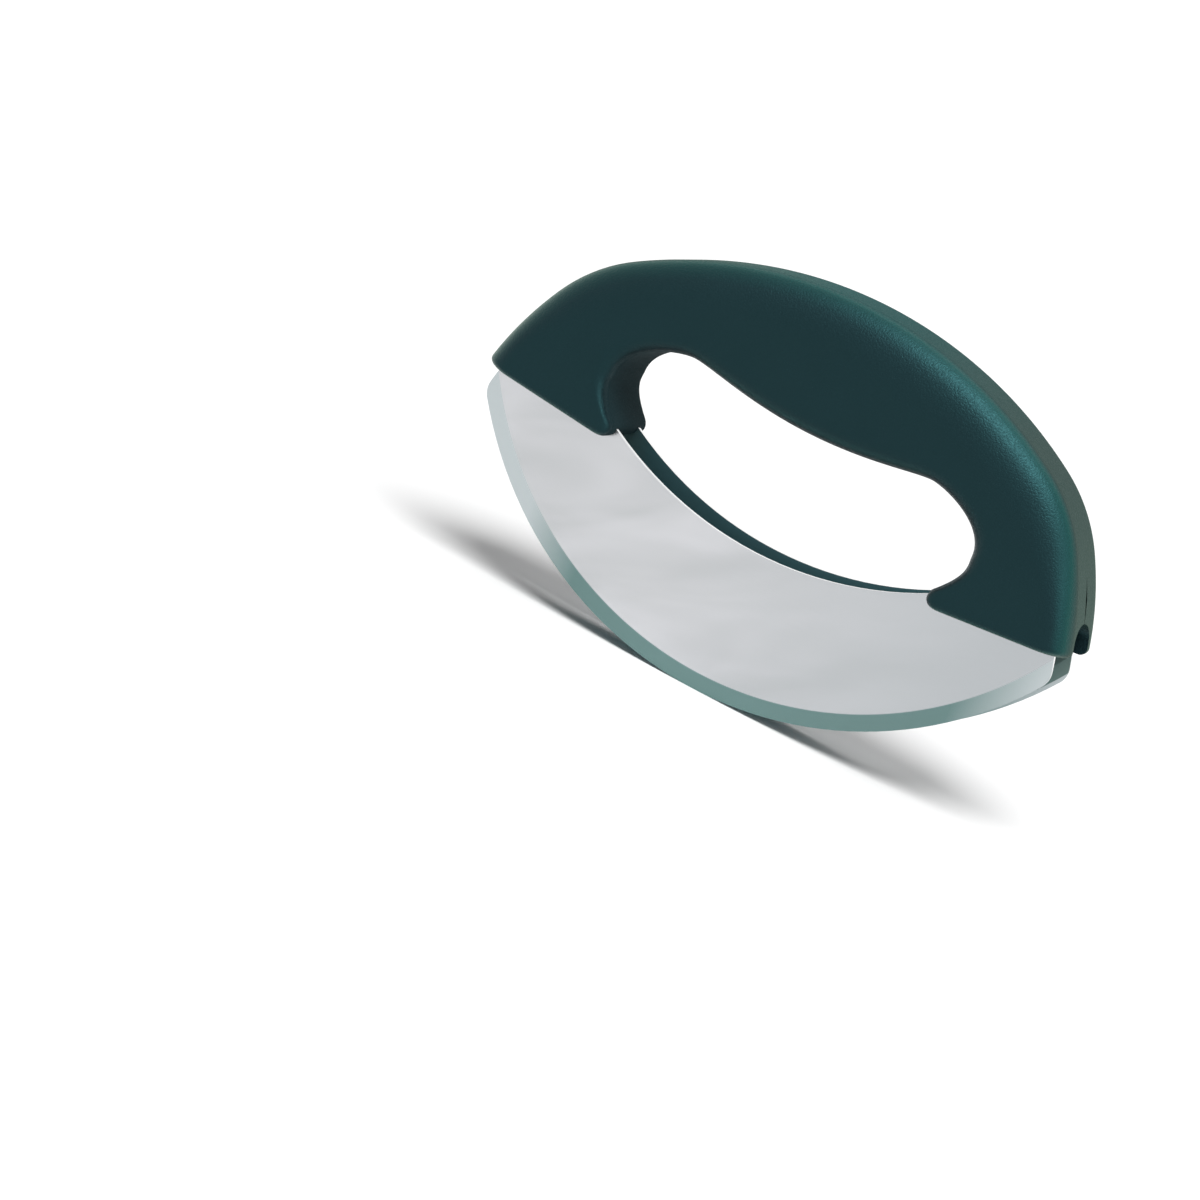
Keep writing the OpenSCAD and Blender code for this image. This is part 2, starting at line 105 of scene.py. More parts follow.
def makeHandlePlastic():
    material, tree, shader = newMaterial("mouldedGreenPlastic")
    coordinates = addNode(tree, "ShaderNodeTexCoord").outputs
    place = coordinates["Object"]
    grain = addNode(tree, "ShaderNodeTexNoise", {"Vector": place},
                    {"Scale": 1 / (handlePlastic["grainMm"] * mm), "Detail": 1.0, "Roughness": 0.6})
    cloud = addNode(tree, "ShaderNodeTexNoise", {"Vector": place},
                    {"Scale": 1 / (handlePlastic["cloudMm"] * mm), "Detail": 3.0})
    colour = addNode(tree, "ShaderNodeMix", {0: cloud.outputs["Fac"]},
                     {6: toLinear(handlePlastic["colour"]), 7: toLinear(handlePlastic["cloudColour"])},
                     data_type="RGBA")
    bump = addNode(tree, "ShaderNodeBump", {"Height": grain.outputs["Fac"]},
                   {"Distance": handlePlastic["bumpMm"] * mm})
    tree.links.new(bump.outputs["Normal"], shader.inputs["Normal"])
    # The sides' normals have little Y in them, and those of the opening point to its middle
    facing = addNode(tree, "ShaderNodeSeparateXYZ", {0: coordinates["Normal"]})
    across = addNode(tree, "ShaderNodeMath", {0: facing.outputs["Y"]}, operation="ABSOLUTE")
    sideMask, bloomMask = [
        addNode(tree, "ShaderNodeMapRange", {"Value": across.outputs[0]},
                {"From Min": low, "From Max": high, "To Min": 1.0, "To Max": 0.0})
        for low, high in (handlePlastic["sideSpan"], handlePlastic["bloomSpan"])]
    outward = addNode(tree, "ShaderNodeVectorMath", {0: place},
                      {1: [size * mm for size in handlePlastic["openingMm"]]}, operation="SUBTRACT")
    outwardUnit = addNode(tree, "ShaderNodeVectorMath", {0: outward.outputs[0]}, operation="NORMALIZE")
    away = addNode(tree, "ShaderNodeVectorMath", {0: outwardUnit.outputs[0], 1: coordinates["Normal"]},
                   operation="DOT_PRODUCT")
    outerMask = addNode(tree, "ShaderNodeMapRange", {"Value": away.outputs["Value"]},
                        {"From Min": -0.1, "From Max": 0.2})
    bloom = addNode(tree, "ShaderNodeMath", {0: bloomMask.outputs["Result"], 1: outerMask.outputs["Result"]},
                    operation="MULTIPLY")
    # The outer rounding is painted a lighter teal than the cheeks: a painted highlight of the key lamp's broad glow
    notSide = addNode(tree, "ShaderNodeMath", {1: sideMask.outputs["Result"]}, {0: 1.0}, operation="SUBTRACT")
    glowPaintMask = addNode(tree, "ShaderNodeMath", {0: bloom.outputs[0], 1: notSide.outputs[0]},
                        operation="MULTIPLY")
    rounded = addNode(tree, "ShaderNodeMix", {0: glowPaintMask.outputs[0], 6: colour.outputs[2]},
                      {7: toLinear(handlePlastic["paintedGlowColour"])}, data_type="RGBA")
    tree.links.new(rounded.outputs[2], shader.inputs["Base Color"])
    bloomWeight = addNode(tree, "ShaderNodeMath", {0: bloom.outputs[0]}, {1: handlePlastic["bloom"]},
                          operation="MULTIPLY")
    tree.links.new(bloomWeight.outputs[0], shader.inputs["Sheen Weight"])
    shader.inputs["Sheen Roughness"].default_value = 0.5
    axes = addNode(tree, "ShaderNodeSeparateXYZ", {0: place})
    fromMiddle = addNode(tree, "ShaderNodeMath", {0: axes.outputs["X"]}, operation="ABSOLUTE")
    low, high = handlePlastic["legsMm"]
    legMask = addNode(tree, "ShaderNodeMapRange", {"Value": fromMiddle.outputs[0]},
                      {"From Min": low * mm, "From Max": high * mm})
    tint = addNode(tree, "ShaderNodeMix", {0: legMask.outputs["Result"]},
                   {6: toLinear(handlePlastic["gripBloom"]), 7: toLinear(handlePlastic["legBloom"])},
                   data_type="RGBA")
    tree.links.new(tint.outputs[2], shader.inputs["Sheen Tint"])
    side = addNode(tree, "ShaderNodeMix", {0: outerMask.outputs["Result"]},
                   {2: handlePlastic["openingRoughness"], 3: handlePlastic["sideRoughness"]}, data_type="FLOAT")
    base = addNode(tree, "ShaderNodeMix", {0: sideMask.outputs["Result"], 3: side.outputs[0]},
                   {2: handlePlastic["roughness"]}, data_type="FLOAT")
    spread = addNode(tree, "ShaderNodeMapRange", {"Value": grain.outputs["Fac"]},
                     {"From Min": 0.3, "From Max": 0.7, "To Min": -handlePlastic["roughSpread"] / 2,
                      "To Max": handlePlastic["roughSpread"] / 2})
    rough = addNode(tree, "ShaderNodeMath", {0: base.outputs[0], 1: spread.outputs["Result"]}, operation="ADD")
    tree.links.new(rough.outputs[0], shader.inputs["Roughness"])
    shader.inputs["Specular IOR Level"].default_value = handlePlastic["specular"]
    shader.inputs["Specular Tint"].default_value = toLinear(handlePlastic["sheen"])
    return material


# Rolled stainless sheet with a satin finish, ground to a bevel along the cutting edge. The faces that look at each
# other across the gap are duller, as they are left as rolled, and are painted dark teal as painted shade and a painted
# reflection of the handle.
bladeSteel = {"face": "#CBCCCF", "cloud": "#BBBDBF", "faceRightShade": "#B2B6B9", "bevelEnd": "#B8C0C2",
              "bevelMiddleReflection": "#6A8583", "darkestMm": 12, "bevelSpanMm": (56, 76), "inside": "#50757B",
              "insideEnd": "#6B7F7B", "edgeHighlight": "#F2F4F4",
              "edgeRadiusMm": 108.7, "bevelMm": 4.7, "ridgeMm": 0.35, "insideMm": 8.6, "cloudMm": 15.0, "cloudStretch": 3.5, "cloudLean": 24.0,
              "lineMm": 0.35, "stretch": 0.02, "roughness": 0.22, "bevelRoughness": 0.34,
              "insideRoughness": 0.5}


def makeBladeSteel():
    material, tree, shader = newMaterial("satinStainlessSteel")
    place = addNode(tree, "ShaderNodeTexCoord").outputs["Object"]
    axes = addNode(tree, "ShaderNodeSeparateXYZ", {0: place})
    flat = addNode(tree, "ShaderNodeVectorMath", {0: place}, {1: (1, 0, 1)}, operation="MULTIPLY")
    fromCentre = addNode(tree, "ShaderNodeVectorMath", {0: flat.outputs[0]},
                         {1: (0, 0, bladeSteel["edgeRadiusMm"] * mm)}, operation="DISTANCE")
    ridge = (bladeSteel["edgeRadiusMm"] - bladeSteel["bevelMm"]) * mm
    softening = bladeSteel["ridgeMm"] * mm / 2
    bevelMask = addNode(tree, "ShaderNodeMapRange", {"Value": fromCentre.outputs["Value"]},
                        {"From Min": ridge - softening, "From Max": ridge + softening})
    drawn = addNode(tree, "ShaderNodeMapping", {"Vector": place},
                    {"Rotation": (0, -math.radians(bladeSteel["cloudLean"]), 0),
                     "Scale": (bladeSteel["cloudStretch"], 1, 1)}, vector_type="TEXTURE")
    clouds = addNode(tree, "ShaderNodeTexNoise", {"Vector": drawn.outputs["Vector"]},
                     {"Scale": 1 / (bladeSteel["cloudMm"] * mm), "Detail": 2.0, "Distortion": 0.6})
    cloudMask = addNode(tree, "ShaderNodeMapRange", {"Value": clouds.outputs["Fac"]},
                        {"From Min": 0.35, "From Max": 0.65})
    cloudy = addNode(tree, "ShaderNodeMix", {0: cloudMask.outputs["Result"]},
                     {6: toLinear(bladeSteel["face"]), 7: toLinear(bladeSteel["cloud"])}, data_type="RGBA")
    # Painted shade: the face is painted a little darker towards the right. Painted reflection: the bevel in the middle
    # of the blade is painted darker and teal
    low, high = bladeSteel["bevelSpanMm"]
    rightShadeMask = addNode(tree, "ShaderNodeMapRange", {"Value": axes.outputs["X"]},
                        {"From Min": -0.02, "From Max": high * mm})
    faceColour = addNode(tree, "ShaderNodeMix", {0: rightShadeMask.outputs["Result"], 6: cloudy.outputs[2]},
                         {7: toLinear(bladeSteel["faceRightShade"])}, data_type="RGBA")
    fromDarkest = addNode(tree, "ShaderNodeMath", {0: axes.outputs["X"]}, {1: bladeSteel["darkestMm"] * mm},
                          operation="SUBTRACT")
    fromMiddle = addNode(tree, "ShaderNodeMath", {0: fromDarkest.outputs[0]}, operation="ABSOLUTE")
    endMask = addNode(tree, "ShaderNodeMapRange", {"Value": fromMiddle.outputs[0]},
                      {"From Min": low * mm, "From Max": high * mm})
    # Painted reflection: the bevel is painted dark teal towards the blade's middle and lighter at the ends
    bevelColour = addNode(tree, "ShaderNodeMix", {0: endMask.outputs["Result"]},
                          {6: toLinear(bladeSteel["bevelMiddleReflection"]), 7: toLinear(bladeSteel["bevelEnd"])},
                          data_type="RGBA")
    outside = addNode(tree, "ShaderNodeMix",
                      {0: bevelMask.outputs["Result"], 6: faceColour.outputs[2], 7: bevelColour.outputs[2]},
                      data_type="RGBA")
    # Painted shade and painted reflection: the faces inside the gap are painted dark teal, lighter towards the blade's
    # ends
    depth = addNode(tree, "ShaderNodeMath", {0: axes.outputs["Y"]}, operation="ABSOLUTE")
    insideMask = addNode(tree, "ShaderNodeMath", {0: depth.outputs[0]}, {1: bladeSteel["insideMm"] * mm},
                         operation="LESS_THAN")
    gapShadeColour = addNode(tree, "ShaderNodeMix", {0: endMask.outputs["Result"]},
                           {6: toLinear(bladeSteel["inside"]), 7: toLinear(bladeSteel["insideEnd"])},
                           data_type="RGBA")
    sides = addNode(tree, "ShaderNodeMix",
                    {0: insideMask.outputs[0], 6: outside.outputs[2], 7: gapShadeColour.outputs[2]},
                    data_type="RGBA")
    # Painted highlight: the blade's edge faces, whose normals lie across Y, are painted near white
    geometry = addNode(tree, "ShaderNodeNewGeometry")
    facing = addNode(tree, "ShaderNodeSeparateXYZ", {0: geometry.outputs["True Normal"]})
    across = addNode(tree, "ShaderNodeMath", {0: facing.outputs["Y"]}, operation="ABSOLUTE")
    edgeHighlightMask = addNode(tree, "ShaderNodeMath", {0: across.outputs[0]}, {1: 0.5}, operation="LESS_THAN")
    colour = addNode(tree, "ShaderNodeMix", {0: edgeHighlightMask.outputs[0], 6: sides.outputs[2]},
                     {7: toLinear(bladeSteel["edgeHighlight"])}, data_type="RGBA")
    tree.links.new(colour.outputs[2], shader.inputs["Base Color"])
    shader.inputs["Metallic"].default_value = 1.0
    lines = addNode(tree, "ShaderNodeMapping", {"Vector": place}, {"Scale": (bladeSteel["stretch"], 1, 1)})
    brushed = addNode(tree, "ShaderNodeTexNoise", {"Vector": lines.outputs["Vector"]},
                      {"Scale": 1 / (bladeSteel["lineMm"] * mm), "Detail": 3.0})
    outsideRough = addNode(tree, "ShaderNodeMix", {0: bevelMask.outputs["Result"]},
                           {2: bladeSteel["roughness"], 3: bladeSteel["bevelRoughness"]}, data_type="FLOAT")
    base = addNode(tree, "ShaderNodeMix", {0: insideMask.outputs[0], 2: outsideRough.outputs[0]},
                   {3: bladeSteel["insideRoughness"]}, data_type="FLOAT")
    spread = addNode(tree, "ShaderNodeMapRange", {"Value": brushed.outputs["Fac"]},
                     {"To Min": -0.05, "To Max": 0.05})
    rough = addNode(tree, "ShaderNodeMath", {0: base.outputs[0], 1: spread.outputs["Result"]}, operation="ADD")
    tree.links.new(rough.outputs[0], shader.inputs["Roughness"])
    bump = addNode(tree, "ShaderNodeBump", {"Height": brushed.outputs["Fac"]},
                   {"Strength": 0.15, "Distance": 0.01 * mm})
    tree.links.new(bump.outputs["Normal"], shader.inputs["Normal"])
    return material


# Turned carbon steel of the hidden pins: plain and slightly dull, with fine turning marks
pinSteel = {"colour": "#9FA1A3", "markMm": 0.2, "roughness": (0.3, 0.45)}


def makePinSteel():
    material, tree, shader = newMaterial("turnedPinSteel")
    shader.inputs["Base Color"].default_value = toLinear(pinSteel["colour"])
    shader.inputs["Metallic"].default_value = 1.0
    place = addNode(tree, "ShaderNodeTexCoord").outputs["Object"]
    marks = addNode(tree, "ShaderNodeTexWave", {"Vector": place},
                    {"Scale": 1 / (pinSteel["markMm"] * mm) / 20, "Distortion": 0.4}, bands_direction="Y")
    low, high = pinSteel["roughness"]
    rough = addNode(tree, "ShaderNodeMapRange", {"Value": marks.outputs["Fac"]}, {"To Min": low, "To Max": high})
    tree.links.new(rough.outputs["Result"], shader.inputs["Roughness"])
    return material


# Seamless photo paper, matt and white
floorPaper = {"colour": "#F4F4F4", "roughness": 0.9}


def makeFloorPaper():
    material, tree, shader = newMaterial("whitePhotoPaper")
    shader.inputs["Base Color"].default_value = toLinear(floorPaper["colour"])
    shader.inputs["Roughness"].default_value = floorPaper["roughness"]
    shader.inputs["Specular IOR Level"].default_value = 0.0
    return material


def addSeenRays(tree):
    # 1 for camera, glossy and transmission rays, 0 for the rays that light the object
    path = addNode(tree, "ShaderNodeLightPath")
    either = addNode(tree, "ShaderNodeMath", {0: path.outputs["Is Camera Ray"], 1: path.outputs["Is Glossy Ray"]},
                     operation="MAXIMUM")
    return addNode(tree, "ShaderNodeMath", {0: either.outputs[0], 1: path.outputs["Is Transmission Ray"]},
                   operation="MAXIMUM")


handleMaterial = makeHandlePlastic()
steelMaterial = makeBladeSteel()
pinMaterial = makePinSteel()
print("materials made")

nodeMaterials = {"blade": steelMaterial, "pin": pinMaterial, "spacer": handleMaterial, "shell": handleMaterial}
for nodeName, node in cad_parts.items():
    finish = nodeMaterials[nodeName.split("_")[-1]]
    for materialSlot in node.material_slots:
        materialSlot.material = finish

# The handle, in millimetres and degrees. Its outer side is three arcs and a corner, its inner side
# three Bezier stretches and a rounded toe, and a section lies across each station of the half arch.
handle = {
    "gripTop": 116.0, "topRadius": 127.0, "shoulderStart": 31.1, "shoulderRadius": 46.5,
    "flankStart": 60.1, "flankRadius": 96.0, "tipRadius": 2.0, "legHeight": 46.1, "legRise": 0.097,
    "openMid": 77.9, "midReach": 19.0, "openTop": (37.4, 82.0), "topReach": (5.1, 4.2),
    "openWide": (56.3, 68.5), "sideReach": (9.2, 2.3), "toeX": 50.1, "toeRadius": 3.0,
    "toeReach": 10.3, "toeAngle": 46.0,
    "roundWidth": 16.2, "legRoundWidth": 7.0, "narrowing": (0.5, 0.84), "roundDepth": 8.0, "roundIn": 5.2, "roundToe": 2.0, "roundEnd": 2.0,
    "wall": 3.0, "gripStations": 72, "legStations": 44, "endStations": 24, "columns": 64,
}
outerShares = (0.5, 0.68, 0.88)
innerShares = (0.42, 0.66, 0.8)


def legBottom(x):
    return handle["legHeight"] + handle["legRise"] * abs(x)


def arcPoint(centre, radius, angle):
    turn = math.radians(angle)
    return centre + radius * Vector((math.sin(turn), math.cos(turn)))


def bezierPoint(a, b, c, d, share):
    rest = 1 - share
    return rest ** 3 * a + 3 * rest ** 2 * share * b + 3 * rest * share ** 2 * c + share ** 3 * d


def partOf(value, low, high):
    return (value - low) / (high - low)


def between(a, b, share):
    return a + (b - a) * share


topCentre = Vector((0, handle["gripTop"] - handle["topRadius"]))
shoulderCentre = arcPoint(topCentre, handle["topRadius"] - handle["shoulderRadius"], handle["shoulderStart"])
flankCentre = arcPoint(shoulderCentre, handle["shoulderRadius"] - handle["flankRadius"], handle["flankStart"])
legOut = Vector((handle["legRise"], -1)).normalized()
legSlope = math.degrees(math.atan(handle["legRise"]))
cornerLift = -handle["tipRadius"] - (flankCentre - Vector((0, handle["legHeight"]))).dot(legOut)
flankEnd = math.degrees(math.asin(cornerLift / (handle["flankRadius"] - handle["tipRadius"]))) + 90 - legSlope
tipCentre = arcPoint(flankCentre, handle["flankRadius"] - handle["tipRadius"], flankEnd)
tipEnd = 180 - legSlope
tipSweep = tipEnd - flankEnd
toeCentreX = handle["toeX"] + handle["toeRadius"]
toeCentre = Vector((toeCentreX, legBottom(toeCentreX) + handle["toeRadius"] * math.hypot(handle["legRise"], 1)))
toeEnd = -180 - legSlope


def outerPoint(share):
    top, shoulder, flank = outerShares
    if share < top:
        return arcPoint(topCentre, handle["topRadius"], handle["shoulderStart"] * share / top)
    if share < shoulder:
        angle = between(handle["shoulderStart"], handle["flankStart"], partOf(share, top, shoulder))
        return arcPoint(shoulderCentre, handle["shoulderRadius"], angle)
    if share < flank:
        angle = between(handle["flankStart"], flankEnd, partOf(share, shoulder, flank))
        return arcPoint(flankCentre, handle["flankRadius"], angle)
    return arcPoint(tipCentre, handle["tipRadius"], between(flankEnd, tipEnd, partOf(share, flank, 1)))


def innerPoint(share):
    grip, bend, toe = innerShares
    flank = outerShares[2]
    middle = Vector((0, handle["openMid"]))
    crest = Vector(handle["openTop"])
    widest = Vector(handle["openWide"])
    nose = arcPoint(toeCentre, handle["toeRadius"], -handle["toeAngle"])
    turn = math.radians(handle["toeAngle"])
    if share < grip:
        return bezierPoint(middle, middle + Vector((handle["midReach"], 0)),
                           crest - Vector((handle["topReach"][0], 0)), crest, share / grip)
    if share < bend:
        return bezierPoint(crest, crest + Vector((handle["topReach"][1], 0)),
                           widest + Vector((0, handle["sideReach"][0])), widest, partOf(share, grip, bend))
    if share < toe:
        pull = handle["toeReach"] * Vector((math.cos(turn), math.sin(turn)))
        return bezierPoint(widest, widest - Vector((0, handle["sideReach"][1])), nose + pull, nose,
                           partOf(share, bend, toe))
    if share < flank:
        angle = between(-handle["toeAngle"], toeEnd + tipSweep, partOf(share, toe, flank))
    else:
        angle = between(toeEnd + tipSweep, toeEnd, partOf(share, flank, 1))
    return arcPoint(toeCentre, handle["toeRadius"], angle)


def roundingWidth(share):
    # The outer rounding narrows down the leg
    slim = min(max(partOf(share, *handle["narrowing"]), 0), 1)
    return between(handle["roundWidth"], handle["legRoundWidth"], slim * slim * (3 - 2 * slim))


def bottomDraw(share):
    # The cheek is drawn in along the leg's bottom edge, as a rounding
    mid = (innerPoint(share) + outerPoint(share)) / 2
    lift = max(handle["roundEnd"] - (mid.y - legBottom(mid.x)), 0)
    return handle["roundEnd"] - math.sqrt(max(handle["roundEnd"] ** 2 - lift ** 2, 0))


def stationShares():
    bend = innerShares[1]
    flank = outerShares[2]
    counts = (handle["gripStations"], handle["legStations"], handle["endStations"])
    ends = ((0, bend), (bend, flank), (flank, 1))
    shares = [0.0]
    for count, (low, high) in zip(counts, ends):
        shares += [between(low, high, i / count) for i in range(1, count + 1)]
    return shares


# The half shells' form follows one rule, so a Geometry Nodes tree lays the sections across the stations
sectionStops = (0.08, 0.24, 0.44, 0.92)


def makeSectionTree():
    tree = bpy.data.node_groups.new("archSections", "GeometryNodeTree")
    sockets = tree.interface
    sockets.new_socket("Stations", in_out="INPUT", socket_type="NodeSocketGeometry")
    for name in ("Half Depth", "Rounding Depth", "Inner Rounding", "Toe Rounding", "Inset", "Overrun", "Side"):
        sockets.new_socket(name, in_out="INPUT", socket_type="NodeSocketFloat")
    sockets.new_socket("Columns", in_out="INPUT", socket_type="NodeSocketInt")
    sockets.new_socket("Material", in_out="INPUT", socket_type="NodeSocketMaterial")
    sockets.new_socket("Shell", in_out="OUTPUT", socket_type="NodeSocketGeometry")
    given = addNode(tree, "NodeGroupInput").outputs
    rows = addNode(tree, "GeometryNodeAttributeDomainSize", {0: given["Stations"]}).outputs["Point Count"]
    grid = addNode(tree, "GeometryNodeMeshGrid", {"Vertices X": rows, "Vertices Y": given["Columns"]})
    index = addNode(tree, "GeometryNodeInputIndex").outputs[0]
    quotient = addNode(tree, "ShaderNodeMath", {0: index, 1: given["Columns"]}, operation="DIVIDE")
    row = addNode(tree, "ShaderNodeMath", {0: quotient.outputs[0]}, operation="FLOOR").outputs[0]
    column = addNode(tree, "ShaderNodeMath", {0: index, 1: given["Columns"]}, operation="MODULO").outputs[0]
    lastColumn = addNode(tree, "ShaderNodeMath", {0: given["Columns"]}, {1: 1.0}, operation="SUBTRACT").outputs[0]
    place = addNode(tree, "ShaderNodeMath", {0: column, 1: lastColumn}, operation="DIVIDE").outputs[0]
    sampled = {}
    for name, kind in (("innerPoint", "FLOAT_VECTOR"), ("outerPoint", "FLOAT_VECTOR"), ("draw", "FLOAT"),
                       ("toeShare", "FLOAT"), ("roundingWidth", "FLOAT")):
        stored = addNode(tree, "GeometryNodeInputNamedAttribute", values={"Name": name}, data_type=kind)
        sample = addNode(tree, "GeometryNodeSampleIndex",
                         {"Geometry": given["Stations"], "Value": stored.outputs["Attribute"], "Index": row},
                         data_type=kind, domain="POINT")
        sampled[name] = sample.outputs["Value"]
    along = addNode(tree, "ShaderNodeVectorMath", {0: sampled["outerPoint"], 1: sampled["innerPoint"]},
                    operation="SUBTRACT").outputs[0]
    width = addNode(tree, "ShaderNodeVectorMath", {0: along}, operation="LENGTH").outputs["Value"]
    direction = addNode(tree, "ShaderNodeVectorMath", {0: along}, operation="NORMALIZE").outputs[0]
    # The stretches of a section, each a share from 0 to 1 or an angle from 0 to 90 degrees
    stops = (0.0, *sectionStops, 1.0)
    quarter = math.pi / 2
    reach = (1.0, quarter, 1.0, quarter, 1.0)
    wallPart, innerTurn, cheekPart, outerTurn, bandPart = [
        addNode(tree, "ShaderNodeMapRange", {"Value": place},
                {"From Min": stops[i], "From Max": stops[i + 1], "To Max": reach[i]}).outputs["Result"]
        for i in range(5)]
    insetDepth = addNode(tree, "ShaderNodeMath", {0: given["Half Depth"], 1: given["Inset"]}, operation="SUBTRACT")
    depth = addNode(tree, "ShaderNodeMath", {0: insetDepth.outputs[0], 1: sampled["draw"]},
                    operation="SUBTRACT").outputs[0]
    softened = addNode(tree, "ShaderNodeMix", {0: sampled["toeShare"], 2: given["Inner Rounding"],
                                               3: given["Toe Rounding"]}, data_type="FLOAT").outputs[0]
    lessIn = addNode(tree, "ShaderNodeMath", {0: softened, 1: given["Inset"]}, operation="SUBTRACT").outputs[0]
    innerRadius = addNode(tree, "ShaderNodeMath", {0: lessIn}, {1: 0.4 * mm}, operation="MAXIMUM").outputs[0]
    roundWidth = addNode(tree, "ShaderNodeMath", {0: sampled["roundingWidth"], 1: given["Inset"]},
                         operation="SUBTRACT").outputs[0]
    roundDepth = addNode(tree, "ShaderNodeMath", {0: given["Rounding Depth"], 1: given["Inset"]},
                         operation="SUBTRACT").outputs[0]
    sines = [addNode(tree, "ShaderNodeMath", {0: turn}, operation="SINE").outputs[0] for turn in (innerTurn, outerTurn)]
    falls = [addNode(tree, "ShaderNodeMath",
                     {1: addNode(tree, "ShaderNodeMath", {0: turn}, operation="COSINE").outputs[0]}, {0: 1.0},
                     operation="SUBTRACT").outputs[0] for turn in (innerTurn, outerTurn)]
    # Distance from the inner side: inset + inner rounding + flat cheek + outer rounding
    taken = addNode(tree, "ShaderNodeMath", {0: given["Inset"], 2: roundWidth}, {1: 2.0},
                    operation="MULTIPLY_ADD").outputs[0]
    rest = addNode(tree, "ShaderNodeMath", {0: width, 1: taken}, operation="SUBTRACT").outputs[0]
    cheek = addNode(tree, "ShaderNodeMath", {0: rest, 1: innerRadius}, operation="SUBTRACT").outputs[0]
    out1 = addNode(tree, "ShaderNodeMath", {0: innerRadius, 1: falls[0], 2: given["Inset"]}, operation="MULTIPLY_ADD")
    out2 = addNode(tree, "ShaderNodeMath", {0: cheek, 1: cheekPart, 2: out1.outputs[0]}, operation="MULTIPLY_ADD")
    out3 = addNode(tree, "ShaderNodeMath", {0: roundWidth, 1: sines[1], 2: out2.outputs[0]}, operation="MULTIPLY_ADD")
    # Depth from the seam: up the inner wall, round to the cheek, down the outer rounding and the band
    wallHeight = addNode(tree, "ShaderNodeMath", {0: depth, 1: innerRadius}, operation="SUBTRACT").outputs[0]
    wallRun = addNode(tree, "ShaderNodeMath", {0: wallHeight, 1: given["Overrun"]}, operation="ADD").outputs[0]
    bandHeight = addNode(tree, "ShaderNodeMath", {0: depth, 1: roundDepth}, operation="SUBTRACT").outputs[0]
    bandRun = addNode(tree, "ShaderNodeMath", {0: bandHeight, 1: given["Overrun"]}, operation="ADD").outputs[0]
    up1 = addNode(tree, "ShaderNodeMath", {0: wallRun, 1: wallPart}, operation="MULTIPLY").outputs[0]
    up2 = addNode(tree, "ShaderNodeMath", {0: innerRadius, 1: sines[0], 2: up1}, operation="MULTIPLY_ADD").outputs[0]
    down1 = addNode(tree, "ShaderNodeMath", {0: roundDepth, 1: falls[1], 2: given["Overrun"]},
                    operation="MULTIPLY_ADD").outputs[0]
    down2 = addNode(tree, "ShaderNodeMath", {0: bandRun, 1: bandPart, 2: down1}, operation="MULTIPLY_ADD").outputs[0]
    height = addNode(tree, "ShaderNodeMath", {0: up2, 1: down2}, operation="SUBTRACT").outputs[0]
    sided = addNode(tree, "ShaderNodeMath", {0: height, 1: given["Side"]}, operation="MULTIPLY").outputs[0]
    deep = addNode(tree, "ShaderNodeCombineXYZ", {"Y": sided})
    across = addNode(tree, "ShaderNodeVectorMath", {0: direction, "Scale": out3.outputs[0]}, operation="SCALE")
    shifted = addNode(tree, "ShaderNodeVectorMath", {0: sampled["innerPoint"], 1: across.outputs[0]}, operation="ADD")
    position = addNode(tree, "ShaderNodeVectorMath", {0: shifted.outputs[0], 1: deep.outputs[0]}, operation="ADD")
    laid = addNode(tree, "GeometryNodeSetPosition", {"Geometry": grid.outputs["Mesh"],
                                                     "Position": position.outputs[0]})
    real = addNode(tree, "GeometryNodeRealizeInstances", {0: laid.outputs[0]})
    finished = addNode(tree, "GeometryNodeSetMaterial", {"Geometry": real.outputs[0], "Material": given["Material"]})
    addNode(tree, "NodeGroupOutput", {"Shell": finished.outputs[0]})
    return tree


sectionTree = makeSectionTree()


def makeStations(shares, widthLimit=None):
    # One vertex for each station from the left leg to the right one, which carries its section's ends
    mesh = bpy.data.meshes.new("stations")
    inner = []
    outer = []
    for side in (-1, 1):
        for share in (reversed(shares) if side < 0 else shares[1:]):
            a = innerPoint(share)
            b = outerPoint(share)
            if widthLimit and b.x - a.x > 1 and b.x > widthLimit:
                b = a + (b - a) * (widthLimit - a.x) / (b.x - a.x)
            inner.append((side * a.x * mm, 0.0, a.y * mm))
            outer.append((side * b.x * mm, 0.0, b.y * mm))
    allShares = [*reversed(shares), *shares[1:]]
    mesh.from_pydata(inner, [], [])
    for name, points in (("innerPoint", inner), ("outerPoint", outer)):
        attribute = mesh.attributes.new(name, "FLOAT_VECTOR", "POINT")
        attribute.data.foreach_set("vector", [value for point in points for value in point])
    numbers = {"draw": [0.0 if widthLimit else bottomDraw(share) * mm for share in allShares],
               "toeShare": [max(partOf(share, innerShares[1], 1), 0) for share in allShares],
               "roundingWidth": [roundingWidth(share) * mm for share in allShares]}
    for name, values in numbers.items():
        mesh.attributes.new(name, "FLOAT", "POINT").data.foreach_set("value", values)
    return mesh


